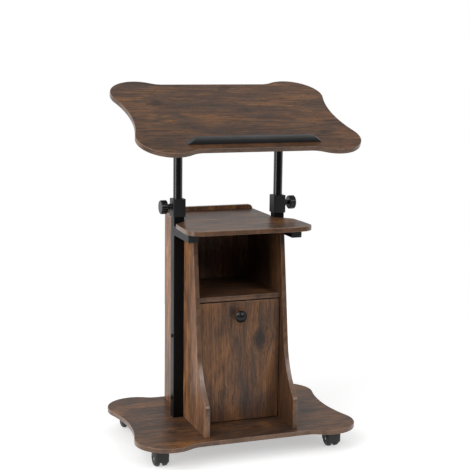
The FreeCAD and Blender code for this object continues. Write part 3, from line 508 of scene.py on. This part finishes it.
def powder_coat(name, colour, gloss, rough):
    """Powder-coated steel: fine orange peel, a little dust in the sheen."""
    s = Shader(name)
    base = s.place()
    peel = s.noise(base, scale=900.0)
    cloud = s.noise(base, scale=14.0, detail=4.0)
    tone = s.patches(cloud, 0.35, 0.75, colour, lift=1.6)
    sheen = s.spread(s.weighed(cloud, 0.7, peel), 0.3, 0.7, *rough)
    return s.finish(tone, sheen, peel, depth=0.00008, strength=0.22, Specular_IOR_Level=gloss)


def moulded(name, colour, fine=1400.0, rough=(0.42, 0.58), gloss=0.50):
    """Moulded plastic with a fine spark-eroded texture and rubbed patches."""
    s = Shader(name)
    base = s.place()
    grit = s.noise(base, scale=fine, detail=2.0, rough=0.7)
    rub = s.noise(base, scale=22.0, detail=4.0)
    tone = s.patches(rub, 0.40, 0.75, colour, lift=1.8)
    sheen = s.ramp(s.weighed(rub, 0.6, grit), (0.3, rough[1]), (0.7, rough[0]))
    return s.finish(tone, sheen, grit, depth=0.0001, strength=0.25, Specular_IOR_Level=gloss)


def plated(name, colour):
    """Zinc-plated steel with faint turning marks and dull patches."""
    s = Shader(name)
    base = s.place()
    marks = s.noise(s.place(scale=(40.0, 900.0, 900.0), vector=base), detail=2.0)
    dull = s.noise(base, scale=120.0, detail=4.0)
    tone = s.patches(dull, 0.40, 0.72, colour, lift=0.6, most=0.6)
    sheen = s.ramp(s.weighed(marks, 0.5, dull), (0.3, 0.24), (0.7, 0.44))
    return s.finish(tone, sheen, marks, depth=0.00005, strength=0.2, Metallic=1.0)


def beech_wood(name, colour):
    """Plain beech with short flecks."""
    s = Shader(name)
    fleck = s.noise(s.place(scale=(60.0, 700.0, 700.0)))
    tone = s.patches(fleck, 0.40, 0.62, colour, lift=0.55)
    return s.finish(tone, s.ramp(fleck, (0.3, 0.55), (0.7, 0.7)), fleck, depth=0.0001, strength=0.2)


def runs_of(edges):
    """Split edges into connected runs."""
    left = set(edges)
    while left:
        run, front = set(), [left.pop()]
        while front:
            edge = front.pop()
            run.add(edge)
            near = {e for v in edge.verts for e in v.link_edges if e in left}
            left -= near
            front.extend(near)
        yield list(run)


def span(run):
    """Longest side of the box round a run of edges."""
    points = [v.co for e in run for v in e.verts]
    return max(max(p[i] for p in points) - min(p[i] for p in points) for i in range(3))


def merged_copy(node):
    """Copy of a node's mesh with its triangles joined and its flat faces made whole."""
    bm = bmesh.new()
    bm.from_mesh(frame["nodes"][node].data)
    bmesh.ops.remove_doubles(bm, verts=bm.verts, dist=MERGE_REACH)
    bmesh.ops.dissolve_limit(bm, angle_limit=FLAT_WITHIN, verts=bm.verts, edges=bm.edges)
    return bm


def eased(node, width, least, clamp=False):
    """Copy of a node with its long sharp edges eased; returns the bmesh and the faces of the easing."""
    bm = merged_copy(node)
    corners = [e for e in bm.edges if e.is_manifold and e.calc_face_angle(0) > CORNER_FROM]
    chosen = [e for run in runs_of(corners) if span(run) > least for e in run]
    made = bmesh.ops.bevel(bm, geom=chosen, offset=width, offset_type="OFFSET", segments=ARRIS_STEPS,
                           profile=0.5, affect="EDGES", clamp_overlap=clamp, material=-1)
    return bm, made["faces"]


def settle(bm, node, materials):
    """Make the object of a finished piece, let it ride on its node's body and stand for the node."""
    record = frame["record"]
    body = next(name for name, nodes in record["behaviour"]["bodies"].items() if node in nodes)
    mesh = bpy.data.meshes.new(f"{node}_dressed")
    bm.to_mesh(mesh)
    bm.free()
    for material in materials:
        mesh.materials.append(material)
    mesh.shade_smooth()
    mesh.set_sharp_from_angle(angle=SHARP_FROM)
    piece = bpy.data.objects.new(f"{node}_dressed", mesh)
    bpy.context.scene.collection.objects.link(piece)
    weigh = piece.modifiers.new("Even shading", "WEIGHTED_NORMAL")
    weigh.keep_sharp = True
    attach(piece, body)
    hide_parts(node)


def paint(node, material):
    """Give a carried-over node its finish."""
    slots = frame["nodes"][node].data.materials
    slots.clear()
    slots.append(material)


def sink(bm, face, outline, depth, taper):
    """Sink a drive recess of the given outline into a screw's head face; taper is the size of its floor."""
    centre, out = face.calc_center_median(), face.normal.copy()
    across = (face.verts[0].co - centre).normalized()
    along = out.cross(across)
    rim = list(face.edges)
    bmesh.ops.delete(bm, geom=[face], context="FACES_ONLY")
    ring = [bm.verts.new(centre + across * x + along * y) for x, y in outline]
    lip = [bm.edges.new((a, b)) for a, b in zip(ring, ring[1:] + ring[:1])]
    bmesh.ops.bridge_loops(bm, edges=rim + lip)
    made = bmesh.ops.extrude_edge_only(bm, edges=lip)["geom"]
    foot = [v for v in made if isinstance(v, bmesh.types.BMVert)]
    bmesh.ops.translate(bm, verts=foot, vec=-depth * out)
    bmesh.ops.scale(bm, verts=foot, vec=(taper, taper, taper), space=Matrix.Translation(depth * out - centre))
    bmesh.ops.edgeloop_fill(bm, edges=[e for e in bm.edges if all(v in foot for v in e.verts)])


def head_faces(bm):
    """Flat faces of the screws' heads, which are the widest round faces."""
    round_faces = [face for face in bm.faces if len(face.verts) > HEAD_CORNERS]
    widest = max(face.calc_area() for face in round_faces)
    return [face for face in round_faces if face.calc_area() > HEAD_SHARE * widest]


def driven(node, outline, depth, taper, material):
    """Screws of a node with their raised heads rounded and a drive recess sunk in each."""
    sizes = bpy.context.scene.lectern_sizes
    bm = merged_copy(node)
    heads = head_faces(bm)
    centres = [face.calc_center_median() for face in heads]
    for face in heads:
        if all(e.calc_face_angle(0) < FLUSH_FROM for e in face.edges):
            bmesh.ops.bevel(bm, geom=list(face.edges), offset=sizes.head_round, offset_type="OFFSET",
                            segments=HEAD_STEPS, profile=0.5, affect="EDGES", material=-1)
    for centre in centres:
        head = min(bm.faces, key=lambda face: (face.calc_center_median() - centre).length)
        sink(bm, head, outline, depth, taper)
    bmesh.ops.recalc_face_normals(bm, faces=bm.faces)
    settle(bm, node, [material])


class LECTERN_OT_boards(bpy.types.Operator):
    """Make the laminate boards with eased edges and banding"""

    bl_idname = "lectern.boards"
    bl_label = "Boards"

    def execute(self, context):
        sizes = context.scene.lectern_sizes
        for node, (way, through, tone, gloss, shift) in BOARDS.items():
            bm, arris = eased(node, sizes.board_arris, sizes.least_run)
            normal = board_normal(through)
            for face in bm.faces:
                face.material_index = 0 if abs(face.normal.dot(normal)) > FACE_ON else 1
            # The eased arris faces take the paler banding, a painted highlight along the edges.
            for face in arris:
                face.material_index = 2
            broad = laminate(node, way, through, tone, gloss, shift)
            band = edge_banding(node, through, shift)
            settle(bm, node, [broad, band, edge_banding(node, through, shift, ARRIS_PAINTED_HIGHLIGHT)])
        return {"FINISHED"}


class LECTERN_OT_steelwork(bpy.types.Operator):
    """Give the tubes, posts, heads, brackets and bolts their powder coat"""

    bl_idname = "lectern.steelwork"
    bl_label = "Steelwork"

    def execute(self, context):
        black = context.scene.lectern_colours.steel_black
        coat = powder_coat("powder_coat", black, gloss=0.14, rough=(0.30, 0.44))
        enamel = powder_coat("post_enamel", black, gloss=0.65, rough=(0.16, 0.26))
        for side in SIDES:
            paint(f"post_{side}", enamel)
            for part in ("upright", "arm", "post_head", "tilt_bracket"):
                paint(f"{part}_{side}", coat)
        driven("upright_bolts", HEX_SOCKET, context.scene.lectern_sizes.socket_depth, HEX_FLOOR, coat)
        return {"FINISHED"}


class LECTERN_OT_mouldings(bpy.types.Operator):
    """Make the moulded plastic fittings with eased edges"""

    bl_idname = "lectern.mouldings"
    bl_label = "Mouldings"

    def execute(self, context):
        sizes, tones = context.scene.lectern_sizes, context.scene.lectern_colours
        black = moulded("moulded_black", tones.plastic_black)
        polished = moulded("knob_black", tones.knob_black, fine=900.0, rough=(0.22, 0.34), gloss=0.28)
        nodes = ["stop_bar", "arm_end_caps"]
        nodes += [f"{part}_{side}" for part in ("clamp_sleeve", "clamp_knob", "tilt_knob") for side in SIDES]
        nodes += [f"caster_hood_{corner}" for corner in CORNERS]
        for node in nodes:
            fluted = "knob" in node
            bm, _ = eased(node, sizes.moulded_arris, sizes.least_run, clamp=fluted)
            settle(bm, node, [polished if fluted else black])
        paint("door_knob", polished)
        for node in ("post_guides", "hinge_bushes"):
            paint(node, black)
        paint("magnet_catch", moulded("catch_case", tones.catch_brown))
        return {"FINISHED"}


class LECTERN_OT_wheels(bpy.types.Operator):
    """Finish the wheels"""

    bl_idname = "lectern.wheels"
    bl_label = "Wheels"

    def execute(self, context):
        black = context.scene.lectern_colours.tread_black
        tread = moulded("wheel_black", black, fine=700.0, rough=(0.38, 0.55))
        for corner in CORNERS:
            paint(f"caster_wheels_{corner}", tread)
        return {"FINISHED"}


class LECTERN_OT_hardware(bpy.types.Operator):
    """Finish the screws, studs, pins, plates and dowels"""

    bl_idname = "lectern.hardware"
    bl_label = "Hardware"

    def execute(self, context):
        sizes, tones = context.scene.lectern_sizes, context.scene.lectern_colours
        zinc = plated("zinc_plate", tones.zinc)
        for node in ("base_screws", "back_panel_screws", "shelf_screws", "caster_screws", "bracket_screws",
                     "stop_bar_screws", "door_knob_screw"):
            driven(node, CROSS_SLOT, sizes.slot_depth, CROSS_FLOOR, zinc)
        plain = ["caster_plates", "door_hinge_pins", "strike_plate", "tilt_pivot_bolts"]
        plain += [f"{part}_{side}" for part in ("clamp_stud", "tilt_stud") for side in SIDES]
        plain += [f"caster_axle_{corner}" for corner in CORNERS]
        for node in plain:
            paint(node, zinc)
        paint("shelf_dowels", beech_wood("beech_dowel", tones.beech))
        return {"FINISHED"}


class LECTERN_OT_stage(bpy.types.Operator):
    """Set the floor, the light and the camera"""

    bl_idname = "lectern.stage"
    bl_label = "Stage"

    def execute(self, context):
        scene = context.scene
        scene.view_settings.view_transform = "Standard"
        self.floor(scene)
        self.surround(scene)
        self.lamps(scene)
        self.camera(scene)
        return {"FINISHED"}

    def floor(self, scene):
        """Pale floor that takes the shadow and looks white where nothing shades it."""
        stage = scene.lectern_stage
        bm = bmesh.new()
        bmesh.ops.create_circle(bm, cap_ends=True, segments=96, radius=stage.floor_reach)
        mesh = bpy.data.meshes.new("studio_floor")
        bm.to_mesh(mesh)
        bm.free()
        floor = bpy.data.objects.new("studio_floor", mesh)
        scene.collection.objects.link(floor)
        s = Shader("studio_floor")
        s.finish(rgba(scene.lectern_colours.paper_white), 0.9, Specular_IOR_Level=0.0)
        lift = s.math("MULTIPLY", s.ray("Camera", "Glossy", "Transmission"), stage.floor_lift)
        glow = s.add("ShaderNodeEmission", Color=(1.0, 1.0, 1.0, 1.0), Strength=lift)
        both = s.add("ShaderNodeAddShader")
        s.feed(both.inputs[0], s.surface.outputs[0])
        s.feed(both.inputs[1], glow.outputs[0])
        s.feed(s.tree.nodes["Material Output"].inputs["Surface"], both.outputs[0])
        mesh.materials.append(s.material)

    def surround(self, scene):
        """Soft light all round: a white backdrop behind the part, and a dimmer room on the camera's side."""
        stage = scene.lectern_stage
        world = bpy.data.worlds.new("studio_surround")
        world.use_nodes = True
        scene.world = world
        s = Nodes(world.node_tree)
        back = s.tree.nodes["Background"]
        s.feed(back.inputs["Color"], (1.0, 1.0, 1.0, 1.0))
        seen = s.add("ShaderNodeTexCoord").outputs["Generated"]
        way = s.vector("DOT_PRODUCT", seen, stage.backdrop_way).outputs["Value"]
        wall = s.spread(way, *stage.backdrop_fade, stage.room, 1.0, {"interpolation_type": "SMOOTHSTEP"})
        soft = s.between(s.ray("Glossy"), stage.sky, 1.0)
        level = s.between(s.ray("Camera", "Transmission"), s.math("MULTIPLY", wall, soft), 1.0)
        s.feed(back.inputs["Strength"], level)

    def lamps(self, scene):
        """A broad light from the upper left, a smaller one from the right and a tall soft one on the left."""
        stage = scene.lectern_stage
        suns = (("studio_key", stage.key, stage.key_width, stage.key_way),
                ("studio_fill", stage.fill, stage.fill_width, stage.fill_way))
        for name, energy, width, way in suns:
            lamp = bpy.data.lights.new(name, "SUN")
            lamp.energy = energy
            lamp.angle = width
            sun = bpy.data.objects.new(name, lamp)
            sun.rotation_euler = Vector(way).to_track_quat("Z", "Y").to_euler()
            scene.collection.objects.link(sun)
        lamp = bpy.data.lights.new("studio_side", "AREA")
        lamp.energy = stage.side
        lamp.shape = "RECTANGLE"
        lamp.size, lamp.size_y = stage.side_height, stage.side_width
        side = bpy.data.objects.new("studio_side", lamp)
        stood_up = Matrix.Rotation(stage.side_turn, 4, "Z") @ Matrix.Rotation(math.radians(-90), 4, "Y")
        side.matrix_world = Matrix.Translation(stage.side_place) @ stood_up
        side.visible_camera = False
        scene.collection.objects.link(side)

    def camera(self, scene):
        """Camera at the picture's place and angle."""
        stage = scene.lectern_stage
        level = math.cos(stage.dip)
        ahead = Vector((math.sin(stage.turn) * level, math.cos(stage.turn) * level, -math.sin(stage.dip)))
        right = Vector((math.cos(stage.turn), -math.sin(stage.turn), 0))
        up = right.cross(ahead)
        lean = Matrix.Rotation(-stage.roll, 3, ahead)
        right, up = lean @ right, lean @ up
        data = bpy.data.cameras.new("studio_camera")
        data.sensor_width = stage.sensor
        data.lens = stage.lens
        camera = bpy.data.objects.new("studio_camera", data)
        aim = Matrix((right, up, -ahead)).transposed().to_4x4()
        camera.matrix_world = Matrix.Translation(stage.eye) @ aim
        scene.collection.objects.link(camera)
        scene.camera = camera


OPERATORS = (LECTERN_OT_boards, LECTERN_OT_steelwork, LECTERN_OT_mouldings, LECTERN_OT_wheels,
             LECTERN_OT_hardware, LECTERN_OT_stage)
GROUPS = {"lectern_sizes": LecternSizes, "lectern_colours": LecternColours, "lectern_stage": LecternStage}


class LECTERN_PT_dressing(bpy.types.Panel):
    """Sidebar panel that lists the steps and their settings"""

    bl_idname = "LECTERN_PT_dressing"
    bl_label = "Lectern Dressing"
    bl_space_type = "VIEW_3D"
    bl_region_type = "UI"
    bl_category = "Lectern"

    def draw(self, context):
        for operator in OPERATORS:
            self.layout.operator(operator.bl_idname)
        for name in GROUPS:
            group = getattr(context.scene, name)
            box = self.layout.box()
            for prop in group.bl_rna.properties:
                if not prop.is_readonly and prop.identifier != "name":
                    box.prop(group, prop.identifier)


CLASSES = (*GROUPS.values(), *OPERATORS, LECTERN_PT_dressing)


def register():
    for cls in CLASSES:
        bpy.utils.register_class(cls)
    for name, group in GROUPS.items():
        setattr(bpy.types.Scene, name, bpy.props.PointerProperty(type=group))


def unregister():
    for name in GROUPS:
        delattr(bpy.types.Scene, name)
    for cls in reversed(CLASSES):
        bpy.utils.unregister_class(cls)


def main():
    register()
    bpy.ops.lectern.boards()
    bpy.ops.lectern.steelwork()
    bpy.ops.lectern.mouldings()
    bpy.ops.lectern.wheels()
    bpy.ops.lectern.hardware()
    bpy.ops.lectern.stage()
    bpy.context.view_layer.update()


if __name__ == "__main__":
    main()
